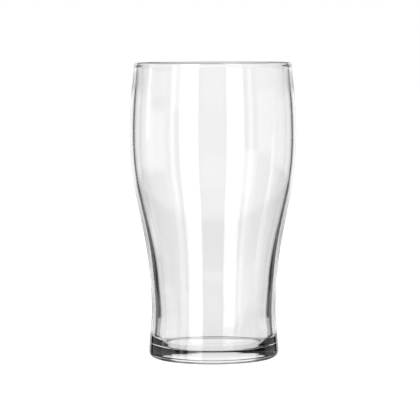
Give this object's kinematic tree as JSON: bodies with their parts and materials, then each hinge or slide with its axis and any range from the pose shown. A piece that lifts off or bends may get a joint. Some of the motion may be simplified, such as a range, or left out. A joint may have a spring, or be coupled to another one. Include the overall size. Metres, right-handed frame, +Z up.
{
  "type": "pint glass",
  "caption": "Tall clear drinking glass with a narrow waist, a rounded shoulder and a thin lip that leans in, for serving and drinking a pint.",
  "frame": {"origin": "middle of the face that the glass stands on, at table height", "axes": "+Z up along the glass's axis; X and Y lie in the table and, as the glass is round, have no preferred direction"},
  "size_m": [0.086, 0.086, 0.152],
  "materials": {
    "clear_glass": "clear, smooth and colourless, with a melted lip"
  },
  "bodies": {
    "root": {"pint_glass": "clear_glass"}
  },
  "joints": []
}
